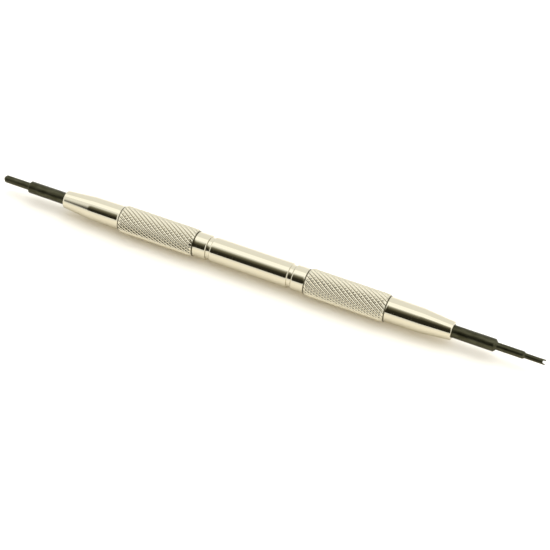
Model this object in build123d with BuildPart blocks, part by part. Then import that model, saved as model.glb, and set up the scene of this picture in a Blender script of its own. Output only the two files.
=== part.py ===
from build123d import *

import math
import os

# Double-ended spring-bar tool, built like a double-ended pin vise.
# The tool's axis is X, and the origin is the middle of the centre barrel. The pin end is -X and the fork end
# is +X. Both ends are the same up to the tips, so their places are measured outwards from the origin.

# Centre barrel: the plain middle, and at each end a joint groove, a stud and a spigot with a socket.
barrel_dia = 6.0
barrel_half_length = 9.8
barrel_edge = 0.25
neck_dia = 5.4
groove_width = 1.0
seat_gap = 0.05
stud_dia = 5.0
stud_end = 18.8
spigot_dia = 4.3
spigot_end = 30.0
socket_dia = 3.7
socket_bottom = 20.3
lead_in = 0.2

# Cap: collar, knurled grip, plain part and conical nose, bored right through.
collar_length = 3.15
grip_dia = 6.7
grip_ramp = 1.0
grip_end = 34.0
plain_dia = 5.9
cone_start = 41.8
cone_base_dia = 5.72
mouth_at = 49.2
mouth_dia = 4.3
mouth_edge = 0.15
stud_clearance = 0.05
stud_bore_end = 19.8
cap_bore_dia = 4.5
inner_cone_start = 43.5
inner_cone_end = 47.5
mouth_hole_dia = 3.2

# Collet: a tail in the barrel's socket, and four jaws under the cap's inner cone.
tail_dia = 3.6
tail_at = 20.5
head_dia = 4.4
head_step_at = 39.5
jaws_end = 46.6
jaw_clearance = 0.03
collet_bore_dia = 2.99
slit_width = 0.35
slit_start = 33.0
slit_pairs = 2

# Tips: the same shank, with a push pin or a fork on its end.
shank_dia = 2.95
shank_at = 31.0
pin_start = 59.3
pin_dia = 1.85
pin_end = 66.6
pin_point = 0.5
shoulder_edge = 0.2
taper_start = 58.85
taper_end = 59.4
fork_neck_dia = 1.75
fork_neck_end = 65.4
fork_start = 65.8
fork_dia = 1.25
fork_end = 70.4
notch_width = 0.6
notch_depth = 0.65
notch_flare = 0.12
fork_turn = 41.0

# Values worked out from those above.
collar_start = barrel_half_length + groove_width
collar_end = collar_start + collar_length
seat_at = collar_start - seat_gap
cap_bore_r = cap_bore_dia / 2
mouth_hole_r = mouth_hole_dia / 2
cone_slope = (cap_bore_r - mouth_hole_r) / (inner_cone_end - inner_cone_start)

ends = {"pin": -1, "fork": 1}


def outward_plane(side):
    """The upright plane through the tool's axis, with its own x pointing outwards at that side."""
    return Plane(origin=(0, 0, 0), x_dir=(side, 0, 0), z_dir=(0, -side, 0))


def jaw_radius(distance):
    """The radius of the collet's jaws under the cap's inner cone."""
    return cap_bore_r - (distance - inner_cone_start) * cone_slope - jaw_clearance


def write_step(piece, label):
    piece.part.label = label
    export_step(piece.part, f"parts/{label}.step")


os.makedirs("parts", exist_ok=True)

# Centre barrel: one half is turned and mirrored, then the plain middle's two edges are rounded.
barrel_half = [
    (0, 0),
    (0, barrel_dia / 2),
    (barrel_half_length, barrel_dia / 2),
    (barrel_half_length, neck_dia / 2),
    (seat_at, neck_dia / 2),
    (seat_at, stud_dia / 2),
    (stud_end - lead_in, stud_dia / 2),
    (stud_end, stud_dia / 2 - lead_in),
    (stud_end, spigot_dia / 2),
    (spigot_end, spigot_dia / 2),
    (spigot_end, socket_dia / 2),
    (socket_bottom, socket_dia / 2),
    (socket_bottom, 0),
]

with BuildPart() as centre_barrel:
    with BuildSketch(outward_plane(1)):
        with BuildLine():
            Polyline(*barrel_half, close=True)
        make_face()
    revolve(axis=Axis.X)
    mirror(about=Plane.YZ)
    barrel_rims = centre_barrel.edges().filter_by(
        lambda edge: edge.geom_type == GeomType.CIRCLE and abs(edge.radius - barrel_dia / 2) < 0.01
    )
    fillet(barrel_rims, radius=barrel_edge)

write_step(centre_barrel, "centre_barrel")

# Caps: one turned outline, the same at both ends.
cap_outline = [
    (collar_start, stud_dia / 2 + stud_clearance),
    (collar_start, barrel_dia / 2),
    (collar_end, barrel_dia / 2),
    (collar_end + grip_ramp, grip_dia / 2),
    (grip_end - grip_ramp, grip_dia / 2),
    (grip_end, plain_dia / 2),
    (cone_start, cone_base_dia / 2),
    (mouth_at, mouth_dia / 2),
    (mouth_at, mouth_hole_r),
    (inner_cone_end, mouth_hole_r),
    (inner_cone_start, cap_bore_r),
    (stud_bore_end, cap_bore_r),
    (stud_bore_end, stud_dia / 2 + stud_clearance),
]

for end, side in ends.items():
    with BuildPart() as cap:
        with BuildSketch(outward_plane(side)):
            with BuildLine():
                Polyline(*cap_outline, close=True)
            make_face()
        revolve(axis=Axis.X)
        collar_rim = cap.edges().filter_by_position(
            Axis.X, side * collar_start - 0.01, side * collar_start + 0.01
        ).sort_by(SortBy.RADIUS)[-1]
        fillet(collar_rim, radius=barrel_edge)
        mouth_rim = cap.edges().filter_by_position(
            Axis.X, side * mouth_at - 0.01, side * mouth_at + 0.01
        ).sort_by(SortBy.RADIUS)[-1]
        fillet(mouth_rim, radius=mouth_edge)
    write_step(cap, f"{end}_cap")

# Collets: a turned sleeve with a coned head, slit crosswise into four jaws.
cone_contact = inner_cone_start + (cap_bore_r - jaw_clearance - head_dia / 2) / cone_slope
collet_outline = [
    (tail_at, collet_bore_dia / 2),
    (tail_at, tail_dia / 2),
    (head_step_at, tail_dia / 2),
    (head_step_at + (head_dia - tail_dia) / 2, head_dia / 2),
    (cone_contact, head_dia / 2),
    (jaws_end, jaw_radius(jaws_end)),
    (jaws_end, collet_bore_dia / 2),
]

for end, side in ends.items():
    with BuildPart() as collet:
        with BuildSketch(outward_plane(side)):
            with BuildLine():
                Polyline(*collet_outline, close=True)
            make_face()
        revolve(axis=Axis.X)
        slit_plane = Plane(origin=(side * slit_start, 0, 0), x_dir=(0, 1, 0), z_dir=(side, 0, 0))
        with BuildSketch(slit_plane):
            with PolarLocations(0, slit_pairs, angular_range=90 * slit_pairs):
                Rectangle(head_dia * 2, slit_width)
        extrude(amount=jaws_end - slit_start + slit_width, mode=Mode.SUBTRACT)
    write_step(collet, f"{end}_collet")

# Pin tip: a plain shank with a stepped push pin, which ends in a blunt point.
pin_outline = [
    (shank_at, 0),
    (shank_at, shank_dia / 2 - lead_in),
    (shank_at + lead_in, shank_dia / 2),
    (pin_start - shoulder_edge, shank_dia / 2),
    (pin_start, shank_dia / 2 - shoulder_edge),
    (pin_start, pin_dia / 2),
    (pin_end - pin_point, pin_dia / 2),
    (pin_end, pin_dia / 2 - pin_point),
    (pin_end, 0),
]

with BuildPart() as pin_tip:
    with BuildSketch(outward_plane(ends["pin"])):
        with BuildLine():
            Polyline(*pin_outline, close=True)
        make_face()
    revolve(axis=Axis.X)

write_step(pin_tip, "pin_tip")

# Fork tip: a stepped shank whose last step is notched. The notch's two prongs stand fork_turn degrees
# round from the horizontal.
fork_outline = [
    (shank_at, 0),
    (shank_at, shank_dia / 2 - lead_in),
    (shank_at + lead_in, shank_dia / 2),
    (taper_start, shank_dia / 2),
    (taper_end, fork_neck_dia / 2),
    (fork_neck_end, fork_neck_dia / 2),
    (fork_start, fork_dia / 2),
    (fork_end, fork_dia / 2),
    (fork_end, 0),
]
notch_bottom = notch_depth - notch_width / 2
notch_plane = Plane(
    origin=(fork_end, 0, 0),
    x_dir=(-1, 0, 0),
    z_dir=(0, -math.sin(math.radians(fork_turn)), math.cos(math.radians(fork_turn))),
)

with BuildPart() as fork_tip:
    with BuildSketch(outward_plane(ends["fork"])):
        with BuildLine():
            Polyline(*fork_outline, close=True)
        make_face()
    revolve(axis=Axis.X)
    with BuildSketch(notch_plane):
        with BuildLine():
            flare = Polyline(
                (notch_bottom, -notch_width / 2),
                (notch_flare, -notch_width / 2),
                (0, -notch_width / 2 - notch_flare),
                (0, notch_width / 2 + notch_flare),
                (notch_flare, notch_width / 2),
                (notch_bottom, notch_width / 2),
            )
            ThreePointArc(flare @ 1, (notch_depth, 0), flare @ 0)
        make_face()
    extrude(amount=fork_dia, both=True, mode=Mode.SUBTRACT)

write_step(fork_tip, "fork_tip")
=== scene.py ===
import math

import bmesh
import bpy
from mathutils import Matrix, Vector


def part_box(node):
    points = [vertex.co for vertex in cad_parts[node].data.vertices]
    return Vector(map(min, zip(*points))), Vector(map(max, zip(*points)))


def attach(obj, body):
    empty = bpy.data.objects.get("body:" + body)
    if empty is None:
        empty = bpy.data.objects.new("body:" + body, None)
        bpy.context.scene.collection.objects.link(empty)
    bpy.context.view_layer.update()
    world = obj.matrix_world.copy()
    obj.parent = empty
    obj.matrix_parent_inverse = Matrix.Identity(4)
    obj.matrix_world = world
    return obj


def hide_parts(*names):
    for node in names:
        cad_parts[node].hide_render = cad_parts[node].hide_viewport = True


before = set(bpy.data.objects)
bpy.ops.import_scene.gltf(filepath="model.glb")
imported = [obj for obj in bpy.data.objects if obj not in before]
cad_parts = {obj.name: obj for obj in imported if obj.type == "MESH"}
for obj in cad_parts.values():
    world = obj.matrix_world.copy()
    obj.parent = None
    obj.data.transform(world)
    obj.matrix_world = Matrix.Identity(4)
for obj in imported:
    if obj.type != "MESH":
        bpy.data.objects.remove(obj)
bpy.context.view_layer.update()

# The pieces' sizes are in millimetres. A piece is made with its outer end towards +X, and the pin end's
# pieces are turned half round when they are finished, which keeps their threads right-hand. Every mesh is
# scaled to metres then.
mm = 0.001
fullTurn = 2 * math.pi
roundSteps = 120          # faces round the handle
tipSteps = 64             # and round the tips
mergeWithin = 1e-4        # vertices closer than this are one
seamWithin = 5e-4         # the same, for the seams of a finished piece
ringWithin = 2e-3         # how far off its ring's place a vertex may be


def cadReach(node, side):
    # how near and how far a CAD node lies along the axis on that side, and its radius, in millimetres
    low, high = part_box(node)
    ends = sorted((side * low[0] / mm, side * high[0] / mm))
    return ends[0], ends[1], high[2] / mm


gripRadius = cadReach("fork_cap", 1)[2]
capStart, mouthAt, _ = cadReach("fork_cap", 1)
spigotEnd = cadReach("centre_barrel", 1)[1]
shankStart, pinEnd, shankRadius = cadReach("pin_tip", -1)
forkEnd = cadReach("fork_tip", 1)[1]

thread = {
    "pitch": 0.5,
    "crest": 2.5,
    "root": 2.2,
    "crestFlat": 0.08,
    "rootFlat": 0.12,
    "looseBy": 0.03,      # how much larger the nut's thread is than the stud's
    "steps": 40,          # for each turn
}


def addOutline(bm, points):
    # a wire outline of (distance along the axis, radius), ready to spin
    corners = [bm.verts.new((x, 0, r)) for x, r in points]
    return corners + [bm.edges.new(pair) for pair in zip(corners, corners[1:])]


def holdRuns(points, gap=0.4):
    # adds a ring near both ends of each long run, so that the rounded edges don't bend its shading
    held = points[:1]
    for (x0, r0), (x1, r1) in zip(points, points[1:]):
        run = math.hypot(x1 - x0, r1 - r0)
        for part in (gap / run, 1 - gap / run) if run > 3 * gap else ():
            held.append((x0 + (x1 - x0) * part, r0 + (r1 - r0) * part))
        held.append((x1, r1))
    return held


def newVerts(bm, before):
    return [v for v in bm.verts if v not in before]


def spinRound(bm, points, steps=roundSteps):
    before = set(bm.verts)
    bmesh.ops.spin(
        bm, geom=addOutline(bm, holdRuns(points)), cent=(0, 0, 0), axis=(1, 0, 0),
        angle=fullTurn, steps=steps, use_merge=True)
    bmesh.ops.remove_doubles(bm, verts=newVerts(bm, before), dist=mergeWithin)


def radiusOf(v):
    return math.hypot(v.co.y, v.co.z)


def ringEdges(bm, x, radius=None, openOnly=False):
    # the edges that run round the axis at x, and at that radius if one is given
    def onRing(v):
        return abs(v.co.x - x) < ringWithin and (radius is None or abs(radiusOf(v) - radius) < ringWithin)

    return [e for e in bm.edges if (e.is_boundary or not openOnly) and all(onRing(v) for v in e.verts)]


def roundRing(bm, x, radius, offset, segments=4):
    # rounds the edge that runs round the axis there
    bmesh.ops.bevel(
        bm, geom=ringEdges(bm, x, radius), offset=offset, affect="EDGES",
        segments=segments, profile=0.5, material=-1)


def joinRings(bm, nearX, farX):
    # closes the gap between two open rings
    rims = ringEdges(bm, nearX, openOnly=True) + ringEdges(bm, farX, openOnly=True)
    bmesh.ops.bridge_loops(bm, edges=rims)


def withFaces(verts):
    # the vertices with all their edges and faces
    edges = {e for v in verts for e in v.link_edges}
    faces = {f for v in verts for f in v.link_faces}
    return list(verts) + list(edges) + list(faces)


def cutAcross(bm, verts, x, outward, clear=True):
    # cuts at x, and clears what lies beyond it, outwards or inwards
    bmesh.ops.bisect_plane(
        bm, geom=withFaces(verts), dist=mergeWithin / 10, plane_co=(x, 0, 0),
        plane_no=(outward, 0, 0), clear_outer=clear)


def addThread(bm, start, end, bigger=0.0):
    # a right-hand helical thread between two planes, left open at both
    t = thread
    root, crest, pitch = t["root"] + bigger, t["crest"] + bigger, t["pitch"]
    slope = (pitch - t["crestFlat"] - t["rootFlat"]) / 2
    turns = math.ceil((end - start) / pitch) + 2
    first = (math.floor(start / pitch) - 1) * pitch
    before = set(bm.verts)
    outline = addOutline(bm, [
        (first, root),
        (first + t["rootFlat"], root),
        (first + t["rootFlat"] + slope, crest),
        (first + t["rootFlat"] + slope + t["crestFlat"], crest),
        (first + pitch, root),
    ])
    bmesh.ops.spin(
        bm, geom=outline, cent=(0, 0, 0), axis=(1, 0, 0), dvec=(pitch / t["steps"], 0, 0),
        angle=fullTurn * turns, steps=t["steps"] * turns)
    bmesh.ops.remove_doubles(bm, verts=newVerts(bm, before), dist=mergeWithin)
    cutAcross(bm, newVerts(bm, before), start, -1)
    cutAcross(bm, newVerts(bm, before), end, 1)


def turnOver(bm, verts):
    # half round the upright axis, so that an end's pieces serve the other end
    bmesh.ops.rotate(bm, verts=verts, cent=(0, 0, 0), matrix=Matrix.Rotation(math.pi, 3, "Z"))


def meshFrom(bm, name):
    mesh = bpy.data.meshes.new(name)
    bm.to_mesh(mesh)
    bm.free()
    return mesh


def addObject(name, data):
    holder = bpy.data.objects.new(name, data)
    bpy.context.collection.objects.link(holder)
    return holder


def finishPiece(name, bm, side, body, node, material, sharpAngle=28):
    # closes the mesh up, places it on its side and hangs it on its CAD body in the node's place
    bmesh.ops.remove_doubles(bm, verts=bm.verts, dist=seamWithin)
    if side < 0:
        turnOver(bm, bm.verts)
    bmesh.ops.scale(bm, verts=bm.verts, vec=(mm, mm, mm))
    bmesh.ops.recalc_face_normals(bm, faces=bm.faces)
    for f in bm.faces:
        f.smooth = True
    for e in bm.edges:
        e.smooth = e.is_manifold and e.calc_face_angle(0) < math.radians(sharpAngle)
    openEdges = sum(1 for e in bm.edges if not e.is_manifold)
    mesh = meshFrom(bm, name)
    piece = addObject(name, mesh)
    mesh.materials.append(material)
    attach(piece, body)
    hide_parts(node)
    print(name, "faces", len(mesh.polygons), "open edges", openEdges)


def newMaterial(name):
    material = bpy.data.materials.new(name)
    material.use_nodes = True
    return material, material.node_tree.nodes, material.node_tree.links


def newMetal(name):
    # a bare metal, with its shader and the piece's own coordinates
    material, nodes, links = newMaterial(name)
    shader = nodes["Principled BSDF"]
    shader.inputs["Metallic"].default_value = 1
    return material, nodes, links, shader, nodes.new("ShaderNodeTexCoord").outputs["Object"]


def addNoise(nodes, links, place, settings):
    # noise in the piece's own space; Stretch, if it is given, scales that space along each axis first
    noise = nodes.new("ShaderNodeTexNoise")
    for name, value in settings.items():
        if name == "Stretch":
            stretch = nodes.new("ShaderNodeMapping")
            stretch.inputs["Scale"].default_value = value
            links.new(place, stretch.inputs["Vector"])
            place = stretch.outputs["Vector"]
        else:
            noise.inputs[name].default_value = value
    links.new(place, noise.inputs["Vector"])
    return noise.outputs["Fac"]


def addMath(nodes, links, operation, *terms):
    # one Math node; a term is a number or another node's output
    step = nodes.new("ShaderNodeMath")
    step.operation = operation
    for socket, term in zip(step.inputs, terms):
        if isinstance(term, (int, float)):
            socket.default_value = term
        else:
            links.new(term, socket)
    return step.outputs["Value"]


def addRange(nodes, links, value, given, wanted=(0, 1), smooth=False):
    # turns one range of values into another
    step = nodes.new("ShaderNodeMapRange")
    if smooth:
        step.interpolation_type = "SMOOTHSTEP"
    step.inputs["From Min"].default_value, step.inputs["From Max"].default_value = given
    step.inputs["To Min"].default_value, step.inputs["To Max"].default_value = wanted
    links.new(value, step.inputs["Value"])
    return step.outputs["Result"]


def addColours(nodes, links, factor, first, second):
    # goes from the first colour to the second; a colour is four numbers or another node's output
    step = nodes.new("ShaderNodeMix")
    step.data_type = "RGBA"
    for name, colour in (("A", first), ("B", second)):
        if isinstance(colour, (tuple, list)):
            step.inputs[name].default_value = colour
        else:
            links.new(colour, step.inputs[name])
    links.new(factor, step.inputs["Factor"])
    return step.outputs["Result"]


def addRelief(nodes, links, shader, height, relief):
    strength, deep = relief
    bump = nodes.new("ShaderNodeBump")
    bump.inputs["Strength"].default_value = strength
    bump.inputs["Distance"].default_value = deep * mm
    links.new(height, bump.inputs["Height"])
    links.new(bump.outputs["Normal"], shader.inputs["Normal"])


nickel = {
    "colour": (0.60, 0.555, 0.43, 1),
    "roughness": (0.045, 0.13),
    "smears": {"Scale": 420, "Detail": 6, "Roughness": 0.65},
    "smearRange": (0.3, 0.75),
    "gripAbove": 3.01,              # farther from the axis than this, in millimetres, is the knurled grip
    # painted shade: the near-black colour that the knurl's grooves take deep down
    "paintedGrooveShade": (0.06, 0.052, 0.025, 1),
    "paintedShadeDepth": (0.19, 0.27),   # how far below the crests the painted groove shade starts and is full
    "grooveDulling": 0.24,          # how much rougher the grooves are where the painted shade is full
    "turningLines": {"Stretch": (14000, 200, 200), "Scale": 1, "Detail": 3},
    "scratches": {"Scale": 2600, "Detail": 4, "Distortion": 1.5},
    "lineHeight": 0.6,              # of the turning lines, where the scratches have 1
    "relief": (0.12, 0.004),        # strength, and depth in millimetres
}


def makeNickel():
    n = nickel
    material, nodes, links, shader, place = newMetal("polishedNickelPlate")

    # handling marks and faint smears
    smears = addNoise(nodes, links, place, n["smears"])
    polish = addRange(nodes, links, smears, n["smearRange"], n["roughness"])

    # the knurl's grooves are rougher than its crests, and painted shade makes them darker and yellower
    split = nodes.new("ShaderNodeSeparateXYZ")
    links.new(place, split.inputs["Vector"])
    across = nodes.new("ShaderNodeCombineXYZ")
    links.new(split.outputs["Y"], across.inputs["Y"])
    links.new(split.outputs["Z"], across.inputs["Z"])
    length = nodes.new("ShaderNodeVectorMath")
    length.operation = "LENGTH"
    links.new(across.outputs["Vector"], length.inputs[0])
    fromAxis = length.outputs["Value"]
    onGrip = addMath(nodes, links, "GREATER_THAN", fromAxis, n["gripAbove"] * mm)
    paintedShadeAt = [(gripRadius - deep) * mm for deep in n["paintedShadeDepth"]]
    deepDown = addRange(nodes, links, fromAxis, paintedShadeAt)
    groove = addMath(nodes, links, "MULTIPLY", deepDown, onGrip)
    dulled = addMath(nodes, links, "MULTIPLY_ADD", groove, n["grooveDulling"], polish)
    links.new(dulled, shader.inputs["Roughness"])
    # painted shade: deep in the grooves the base colour goes to near-black, standing in for the shadow there
    colour = addColours(nodes, links, groove, n["colour"], n["paintedGrooveShade"])
    links.new(colour, shader.inputs["Base Color"])

    # very fine turning lines and small scratches raise and lower the surface a little
    lines = addNoise(nodes, links, place, n["turningLines"])
    scratches = addNoise(nodes, links, place, n["scratches"])
    height = addMath(nodes, links, "MULTIPLY_ADD", lines, n["lineHeight"], scratches)
    addRelief(nodes, links, shader, height, n["relief"])
    return material


blackSteel = {
    "dark": (0.038, 0.036, 0.019, 1),
    "light": (0.072, 0.069, 0.042, 1),
    "roughness": (0.26, 0.42),
    "blotches": {"Stretch": (500, 1100, 1100), "Scale": 1, "Detail": 5},   # drawn out along the steel
    "blotchRange": (0.35, 0.7),
    "turningLines": {"Stretch": (16000, 300, 300), "Scale": 1, "Detail": 3},
    "relief": (0.35, 0.006),
}


def makeBlackSteel():
    b = blackSteel
    material, nodes, links, shader, place = newMetal("blackenedSteel")
    # the blackening is uneven, in soft blotches
    blotches = addNoise(nodes, links, place, b["blotches"])
    share = addRange(nodes, links, blotches, b["blotchRange"])
    links.new(addColours(nodes, links, share, b["dark"], b["light"]), shader.inputs["Base Color"])
    links.new(addRange(nodes, links, blotches, (0, 1), b["roughness"]), shader.inputs["Roughness"])
    lines = addNoise(nodes, links, place, b["turningLines"])
    addRelief(nodes, links, shader, lines, b["relief"])
    return material


turnedSteel = {
    "dark": (0.36, 0.35, 0.33, 1),
    "light": (0.52, 0.51, 0.49, 1),
    "roughness": (0.22, 0.4),
    "turningLines": {"Stretch": (9000, 300, 300), "Scale": 1, "Detail": 4},
    "relief": (0.4, 0.01),
}


def makeColletSteel():
    t = turnedSteel
    material, nodes, links, shader, place = newMetal("turnedColletSteel")
    lines = addNoise(nodes, links, place, t["turningLines"])
    links.new(addColours(nodes, links, lines, t["dark"], t["light"]), shader.inputs["Base Color"])
    links.new(addRange(nodes, links, lines, (0, 1), t["roughness"]), shader.inputs["Roughness"])
    addRelief(nodes, links, shader, lines, t["relief"])
    return material


nickelPlate = makeNickel()
blackenedSteel = makeBlackSteel()
colletSteel = makeColletSteel()
print("materials made")


barrel = {
    "radius": 3.0,
    "halfLength": 9.8,
    "neckRadius": 2.7,
    "edge": 0.22,
    "neckFillet": 0.12,
    "seatAt": 10.75,
    "threadStart": 11.05,
    "threadEnd": 18.6,
    "studEnd": 18.8,
    "spigotRadius": 2.15,
    "socketRadius": 1.85,
    "socketBottom": 20.3,
    "drillPoint": 1.0,
    "chamfer": 0.15,
}


def makeBarrel():
    b = barrel
    bm = bmesh.new()
    # one stud, its spigot and its drilled socket
    addThread(bm, b["threadStart"], b["threadEnd"])
    spinRound(bm, [
        (b["studEnd"], b["spigotRadius"]),
        (spigotEnd - b["chamfer"], b["spigotRadius"]),
        (spigotEnd, b["spigotRadius"] - b["chamfer"]),
        (spigotEnd, b["socketRadius"]),
        (b["socketBottom"], b["socketRadius"]),
        (b["socketBottom"] - b["drillPoint"], 0),
    ])
    joinRings(bm, b["threadEnd"], b["studEnd"])
    # the same again, turned half round for the other end
    other = bmesh.ops.duplicate(bm, geom=list(bm.verts) + list(bm.edges) + list(bm.faces))["geom"]
    turnOver(bm, [g for g in other if isinstance(g, bmesh.types.BMVert)])
    # the plain middle with its two joint grooves
    spinRound(bm, [
        (-b["seatAt"], thread["root"]),
        (-b["seatAt"], b["neckRadius"]),
        (-b["halfLength"], b["neckRadius"]),
        (-b["halfLength"], b["radius"]),
        (b["halfLength"], b["radius"]),
        (b["halfLength"], b["neckRadius"]),
        (b["seatAt"], b["neckRadius"]),
        (b["seatAt"], thread["root"]),
    ])
    for end in (-1, 1):
        joinRings(bm, end * b["seatAt"], end * b["threadStart"])
        roundRing(bm, end * b["halfLength"], b["radius"], b["edge"])
        roundRing(bm, end * b["halfLength"], b["neckRadius"], b["neckFillet"], 3)
    finishPiece("barrelWithStuds", bm, 1, "barrel", "centre_barrel", nickelPlate)


cap = {
    "collarRadius": 3.0,
    "collarEnd": 13.95,
    "ramp": 1.0,          # the length over which the knurl's crests rise and fall
    "rampCuts": (0.55, 0.75, 0.99),   # rings of extra vertices along it
    "gripEnd": 34.0,
    "plainRadius": 2.95,
    "plainEnd": 41.8,
    "coneRadius": 2.86,
    "mouthRadius": 2.15,
    "mouthHole": 1.6,
    "mouthHoleStart": 47.5,
    "innerConeStart": 43.5,
    "boreRadius": 2.25,
    "nutEnd": 19.8,
    "nutThreadStart": 11.1,
    "nutThreadEnd": 19.5,
    "leadIn": 0.08,       # how deep the nut's thread starts inside the rear face
    "leadInStep": 0.12,   # and how much wider than the thread's root it is there
    "rearRadius": 2.62,   # where the rear face starts
    "edge": 0.32,
    "mouthEdge": 0.15,
    "baseEdge": 0.3,
}

knurl = {
    "rightHand": 21,      # grooves round the grip; the two rolls don't track alike
    "leftHand": 25,
    "angle": 31.5,        # of the grooves to the tool's axis, in degrees
    "rightDepth": 0.27,   # the right-hand roll bit in fully, the left-hand one only part way
    "leftDepth": 0.075,
    "crestRounding": 2.1,   # a larger one makes the crests broader and flatter
    "facesAcross": (8, 4),  # each right-hand groove, and each left-hand one
}
knurlRoot = gripRadius - knurl["rightDepth"]


def grooveWall(turns):
    # 0 at the bottom of a groove, rising to 1 on the crest halfway to the next
    toGroove = abs(2 * (turns % 1) - 1)
    return 1 - toGroove ** knurl["crestRounding"]


def addKnurl(bm, start, end):
    # the whole knurl between two planes, left open at both: a grid whose cells are the diamonds, rolled up
    k = knurl
    around = fullTurn * knurlRoot
    slope = 1 / math.tan(math.radians(k["angle"]))
    acrossRight = Vector((slope, 1)) * around / (2 * k["rightHand"])
    acrossLeft = Vector((-slope, 1)) * around / (2 * k["leftHand"])
    spare = math.ceil((end - start) / -acrossLeft.x)
    rows = spare + k["leftHand"]
    before = set(bm.verts)
    bmesh.ops.create_grid(
        bm, x_segments=k["facesAcross"][0] * k["rightHand"], y_segments=k["facesAcross"][1] * rows, size=0.5)
    grid = newVerts(bm, before)
    for v in grid:
        right, left = (v.co.x + 0.5) * k["rightHand"], (v.co.y + 0.5) * rows - spare
        flat = Vector((start, 0)) + acrossRight * right + acrossLeft * left
        wall = grooveWall(right)
        height = knurlRoot + wall * (k["rightDepth"] - k["leftDepth"] * (1 - grooveWall(left)))
        turn = flat.y / knurlRoot
        v.co = (flat.x, height * math.sin(turn), height * math.cos(turn))
    bmesh.ops.remove_doubles(bm, verts=grid, dist=ringWithin)
    cutAcross(bm, newVerts(bm, before), start, -1)
    cutAcross(bm, newVerts(bm, before), end, 1)


def turnRamp(bm, before, foot, footRadius, outward):
    # turns the knurl's crests down to the ramp at its end
    length = cap["ramp"]
    for part in cap["rampCuts"]:
        cutAcross(bm, newVerts(bm, before), foot + outward * length * part, outward, clear=False)
    for v in newVerts(bm, before):
        away = (v.co.x - foot) * outward
        limit = footRadius + (gripRadius - footRadius) * min(1, away / length)
        if radiusOf(v) > limit:
            v.co.yz *= limit / radiusOf(v)


def makeCap():
    c = cap
    bm = bmesh.new()
    # the nut's thread
    addThread(bm, c["nutThreadStart"], c["nutThreadEnd"], thread["looseBy"])
    # rear collar, from the thread's lead-in to the knurl's foot
    leadIn = capStart + c["leadIn"]
    spinRound(bm, [
        (leadIn, thread["root"] + thread["looseBy"] + c["leadInStep"]),
        (capStart, c["rearRadius"]),
        (capStart, c["collarRadius"]),
        (c["collarEnd"], c["collarRadius"]),
    ])
    joinRings(bm, leadIn, c["nutThreadStart"])
    roundRing(bm, capStart, c["collarRadius"], c["edge"])
    # plain part, nose, mouth, inner cone and bore
    spinRound(bm, [
        (c["gripEnd"], c["plainRadius"]),
        (c["plainEnd"], c["coneRadius"]),
        (mouthAt, c["mouthRadius"]),
        (mouthAt, c["mouthHole"]),
        (c["mouthHoleStart"], c["mouthHole"]),
        (c["innerConeStart"], c["boreRadius"]),
        (c["nutEnd"], c["boreRadius"]),
    ])
    joinRings(bm, c["nutThreadEnd"], c["nutEnd"])
    roundRing(bm, mouthAt, c["mouthRadius"], c["mouthEdge"], 3)
    roundRing(bm, c["plainEnd"], c["coneRadius"], c["baseEdge"], 3)
    # the knurl starts and ends where its ramps rise above the grooves' bottoms
    feet = (c["collarRadius"], c["plainRadius"])
    rise = [(knurlRoot - foot) / (gripRadius - foot) * c["ramp"] for foot in feet]
    knurlStart, knurlEnd = c["collarEnd"] + rise[0], c["gripEnd"] - rise[1]
    before = set(bm.verts)
    addKnurl(bm, knurlStart, knurlEnd)
    turnRamp(bm, before, c["collarEnd"], c["collarRadius"], 1)
    turnRamp(bm, before, c["gripEnd"], c["plainRadius"], -1)
    joinRings(bm, c["collarEnd"], knurlStart)
    joinRings(bm, c["gripEnd"], knurlEnd)
    return bm


pushPin = {
    "shoulderAt": 59.3,
    "shoulderEdge": 0.2,
    "radius": 0.925,
    "rootFillet": 0.12,
    "point": 0.5,
    "pointEdge": 0.12,
    "endEdge": 0.06,
    "rearChamfer": 0.2,
}


def makePushPin():
    p = pushPin
    bm = bmesh.new()
    spinRound(bm, [
        (shankStart, 0),
        (shankStart, shankRadius - p["rearChamfer"]),
        (shankStart + p["rearChamfer"], shankRadius),
        (p["shoulderAt"], shankRadius),
        (p["shoulderAt"], p["radius"]),
        (pinEnd - p["point"], p["radius"]),
        (pinEnd, p["radius"] - p["point"]),
        (pinEnd, 0),
    ], tipSteps)
    roundRing(bm, p["shoulderAt"], shankRadius, p["shoulderEdge"], 3)
    roundRing(bm, p["shoulderAt"], p["radius"], p["rootFillet"], 3)
    roundRing(bm, pinEnd - p["point"], p["radius"], p["pointEdge"], 2)
    roundRing(bm, pinEnd, p["radius"] - p["point"], p["endEdge"], 2)
    finishPiece("pushPin", bm, -1, "pin_tip", "pin_tip", blackenedSteel)


fork = {
    "taperStart": 58.85,
    "taperEnd": 59.4,
    "neckRadius": 0.875,
    "neckEnd": 65.4,
    "start": 65.8,
    "radius": 0.625,
    "notchWidth": 0.6,
    "notchDepth": 0.65,
    "turn": 41,           # of the prongs from level, in degrees
    "cutterLength": 3.0,
    "cutterSteps": 24,
    "taperEdge": 0.15,
    "endEdge": 0.06,
    "rearChamfer": 0.2,
}


def makeNotchCutter():
    # a rounded slot, longer than the fork is thick, turned to the prongs' angle
    f = fork
    half = f["notchWidth"] / 2
    bottom = forkEnd - f["notchDepth"] + half
    bm = bmesh.new()
    bmesh.ops.create_cone(
        bm, cap_ends=True, segments=f["cutterSteps"], radius1=half, radius2=half, depth=f["cutterLength"])
    outer = [v for v in bm.verts if v.co.x > mergeWithin]
    bmesh.ops.translate(bm, verts=outer, vec=(f["notchDepth"], 0, 0))
    bmesh.ops.translate(bm, verts=bm.verts, vec=(bottom, 0, 0))
    turn = Matrix.Rotation(math.radians(f["turn"]), 3, "X")
    bmesh.ops.rotate(bm, verts=bm.verts, cent=(0, 0, 0), matrix=turn)
    bmesh.ops.recalc_face_normals(bm, faces=bm.faces)
    return meshFrom(bm, "notchCutter")


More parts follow.
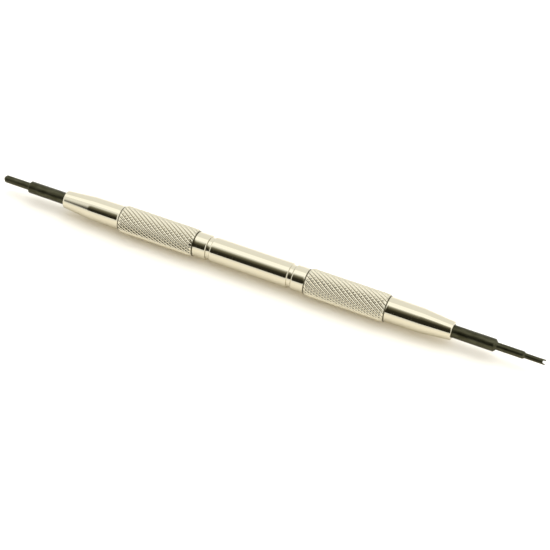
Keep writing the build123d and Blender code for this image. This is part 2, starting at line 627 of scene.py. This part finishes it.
def makeForkBlank():
    f = fork
    bm = bmesh.new()
    spinRound(bm, [
        (shankStart, 0),
        (shankStart, shankRadius - f["rearChamfer"]),
        (shankStart + f["rearChamfer"], shankRadius),
        (f["taperStart"], shankRadius),
        (f["taperEnd"], f["neckRadius"]),
        (f["neckEnd"], f["neckRadius"]),
        (f["start"], f["radius"]),
        (forkEnd, f["radius"]),
        (forkEnd, 0),
    ], tipSteps)
    roundRing(bm, f["taperStart"], shankRadius, f["taperEdge"], 3)
    roundRing(bm, forkEnd, f["radius"], f["endEdge"], 2)
    bmesh.ops.recalc_face_normals(bm, faces=bm.faces)
    return meshFrom(bm, "forkBlank")


def makeFork():
    # the slot is cut out of the blank
    blank = addObject("forkWork", makeForkBlank())
    cutter = addObject("notchWork", makeNotchCutter())
    cut = blank.modifiers.new("notch", "BOOLEAN")
    cut.operation = "DIFFERENCE"
    cut.solver = "EXACT"
    cut.object = cutter
    view = bpy.context.evaluated_depsgraph_get()
    view.update()
    result = bpy.data.meshes.new_from_object(blank.evaluated_get(view))
    bm = bmesh.new()
    bm.from_mesh(result)
    spent = (blank.data, cutter.data, result)
    for o in (blank, cutter):
        bpy.data.objects.remove(o)
    for m in spent:
        bpy.data.meshes.remove(m)
    finishPiece("forkPoint", bm, 1, "fork_tip", "fork_tip", blackenedSteel)


makeBarrel()
capBlank = makeCap()
print("cap shaped")
for name, side, node in (("pinEndCap", -1, "pin_cap"), ("forkEndCap", 1, "fork_cap")):
    finishPiece(name, capBlank.copy(), side, node, node, nickelPlate)
capBlank.free()
makePushPin()
makeFork()
for node in ("pin_collet", "fork_collet"):
    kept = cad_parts[node]
    kept.data.materials.clear()
    kept.data.materials.append(colletSteel)
print("pieces made")


# The room, its lights and the camera are in metres.
room = {
    "floorSize": 6.0,
    "floorColour": (0.80, 0.79, 0.76, 1),
    "floorRoughness": 0.9,
    "floorShine": 0.1,
    "skyColour": (0.985, 1.0, 1.0, 1),
    "skyStrength": 1.28,
    "topSize": (2.4, 0.5),
    "topPlace": (0, 0.02, 0.6),
    "topWatts": 1.7,
    "keySize": (0.8, 0.8),
    "keyPlace": (0.1, 0.5, 0.62),
    "keyWatts": 5.5,
    "fillSize": (0.6, 0.3),
    "fillPlace": (0.1, -0.42, 0.27),
    "fillWatts": 1.3,
    "fillColour": (1, 0.78, 0.42),
}

# The unlit room on the camera's side, which the polished handle mirrors as a dark band. Angles are in
# degrees above level as the tool sees it, and the rest is in metres.
darkRoom = {
    "from": 12,
    "to": 80,
    "steps": 24,
    "outline": [(-0.8, 0.6), (1.1, 0.6), (1.5, 0.45), (1.6, 0.05)],   # (along the tool, from its axis)
    "brightness": [
        (12, (0.03, 0.028, 0.018)),
        (40, (0.035, 0.033, 0.021)),
        (56, (0.19, 0.18, 0.13)),
        (65, (0.42, 0.42, 0.34)),
        (75, (1.26, 1.28, 1.28)),
    ],
    "rise": 40,           # how many degrees higher the dark reaches for each metre towards the fork end
    "riseFrom": -0.19,
    "fall": 200,          # and lower again for each metre beyond its highest place
    "highest": 0.06,
    "leftFade": (-0.58, -0.46),
    "fadeMiddle": 27,     # the left end narrows towards this height
    "fadeNarrowing": 0.17,
}


def makeFloor():
    bm = bmesh.new()
    bmesh.ops.create_grid(bm, x_segments=1, y_segments=1, size=room["floorSize"] / 2)
    bmesh.ops.translate(bm, verts=bm.verts, vec=(0, 0, -gripRadius * mm))
    mesh = meshFrom(bm, "paleFloor")
    floor = addObject("paleFloor", mesh)
    material, nodes, links = newMaterial("paleFloor")
    shader = nodes["Principled BSDF"]
    shader.inputs["Base Color"].default_value = room["floorColour"]
    shader.inputs["Roughness"].default_value = room["floorRoughness"]
    shader.inputs["Specular IOR Level"].default_value = room["floorShine"]
    mesh.materials.append(material)


def makeDarkSide():
    d = darkRoom
    bm = bmesh.new()
    first, last = math.radians(d["from"]), math.radians(d["to"])
    corners = [bm.verts.new((x, -r * math.cos(first), r * math.sin(first))) for x, r in d["outline"]]
    edges = [bm.edges.new(pair) for pair in zip(corners, corners[1:])]
    bmesh.ops.spin(
        bm, geom=corners + edges, cent=(0, 0, 0), axis=(1, 0, 0), angle=first - last, steps=d["steps"])
    card = addObject("darkSide", meshFrom(bm, "darkSide"))
    card.data.materials.append(makeUnlitRoom())
    card.visible_camera = False


def makeUnlitRoom():
    # lighter towards the ceiling, higher towards the fork end, and narrowing to nothing at the left end
    d = darkRoom
    material, nodes, links = newMaterial("unlitRoom")
    nodes.remove(nodes["Principled BSDF"])
    place = nodes.new("ShaderNodeTexCoord")
    split = nodes.new("ShaderNodeSeparateXYZ")
    links.new(place.outputs["Object"], split.inputs["Vector"])
    along = split.outputs["X"]
    toFront = addMath(nodes, links, "MULTIPLY", split.outputs["Y"], -1)
    above = addMath(nodes, links, "ARCTAN2", split.outputs["Z"], toFront)

    rise, fall = math.radians(d["rise"]), math.radians(d["fall"])
    risen = addMath(nodes, links, "MULTIPLY_ADD", along, -rise, rise * d["riseFrom"])
    beyond = addMath(nodes, links, "MAXIMUM", addMath(nodes, links, "SUBTRACT", along, d["highest"]), 0)
    drop = addMath(nodes, links, "MULTIPLY_ADD", beyond, rise + fall, risen)
    edges = (math.radians(d["from"]), math.radians(d["to"]))
    height = addRange(nodes, links, addMath(nodes, links, "ADD", above, drop), edges)
    ramp = nodes.new("ShaderNodeValToRGB")
    stops = ramp.color_ramp.elements
    while len(stops) < len(d["brightness"]):
        stops.new(0.5)
    for stop, (angle, radiance) in zip(stops, d["brightness"]):
        stop.position = (angle - d["from"]) / (d["to"] - d["from"])
        stop.color = (*radiance, 1)
    links.new(height, ramp.inputs["Fac"])

    offMiddle = addMath(nodes, links, "SUBTRACT", above, math.radians(d["fadeMiddle"]))
    apart = addMath(nodes, links, "ABSOLUTE", offMiddle)
    narrowed = addMath(nodes, links, "MULTIPLY_ADD", apart, -d["fadeNarrowing"], along)
    faded = addRange(nodes, links, narrowed, d["leftFade"], (1, 0), smooth=True)
    sky = [room["skyStrength"] * part for part in room["skyColour"][:3]] + [1]
    shade = addColours(nodes, links, faded, ramp.outputs["Color"], sky)
    glow = nodes.new("ShaderNodeEmission")
    links.new(shade, glow.inputs["Color"])
    links.new(glow.outputs["Emission"], nodes["Material Output"].inputs["Surface"])
    return material


def addAreaLight(name, place, size, watts, target=(0, 0, 0)):
    light = bpy.data.lights.new(name, "AREA")
    light.shape = "RECTANGLE"
    light.size, light.size_y = size
    light.energy = watts
    holder = addObject(name, light)
    holder.location = place
    holder.rotation_mode = "QUATERNION"
    holder.rotation_quaternion = (Vector(place) - Vector(target)).to_track_quat("Z", "Y")
    return holder


def makeLights():
    r = room
    world = bpy.data.worlds.new("softTent")
    bpy.context.scene.world = world
    world.use_nodes = True
    sky = world.node_tree.nodes["Background"]
    sky.inputs["Color"].default_value = r["skyColour"]
    sky.inputs["Strength"].default_value = r["skyStrength"]
    under = (*r["topPlace"][:2], 0)
    addAreaLight("softTop", r["topPlace"], r["topSize"], r["topWatts"], under)
    key = addAreaLight("softKey", r["keyPlace"], r["keySize"], r["keyWatts"])
    fill = addAreaLight("warmFill", r["fillPlace"], r["fillSize"], r["fillWatts"])
    fill.data.color = r["fillColour"]
    for light in (key, fill):
        light.visible_glossy = False   # they light the floor, but aren't mirrored in the plating


camera = {
    "azimuth": 25.2,
    "elevation": 46.7,
    "distance": 0.342,
    "lens": 97.4,
    "slide": (0.00528, -0.00289),   # sideways and upwards, without turning
    "clip": (0.01, 20),
}


def makeCamera():
    c = camera
    around, above = math.radians(c["azimuth"]), math.radians(c["elevation"])
    back = Vector((math.sin(around) * math.cos(above), -math.cos(around) * math.cos(above), math.sin(above)))
    right = Vector((math.cos(around), math.sin(around), 0))
    up = back.cross(right)
    data = bpy.data.cameras.new("camera")
    data.lens = c["lens"]
    data.clip_start, data.clip_end = c["clip"]
    eye = addObject("camera", data)
    eye.location = back * c["distance"] + right * c["slide"][0] + up * c["slide"][1]
    eye.rotation_mode = "QUATERNION"
    eye.rotation_quaternion = back.to_track_quat("Z", "Y")
    bpy.context.scene.camera = eye


makeFloor()
makeDarkSide()
makeLights()
makeCamera()
bpy.context.scene.view_settings.view_transform = "Standard"
print("floor, light and camera made")
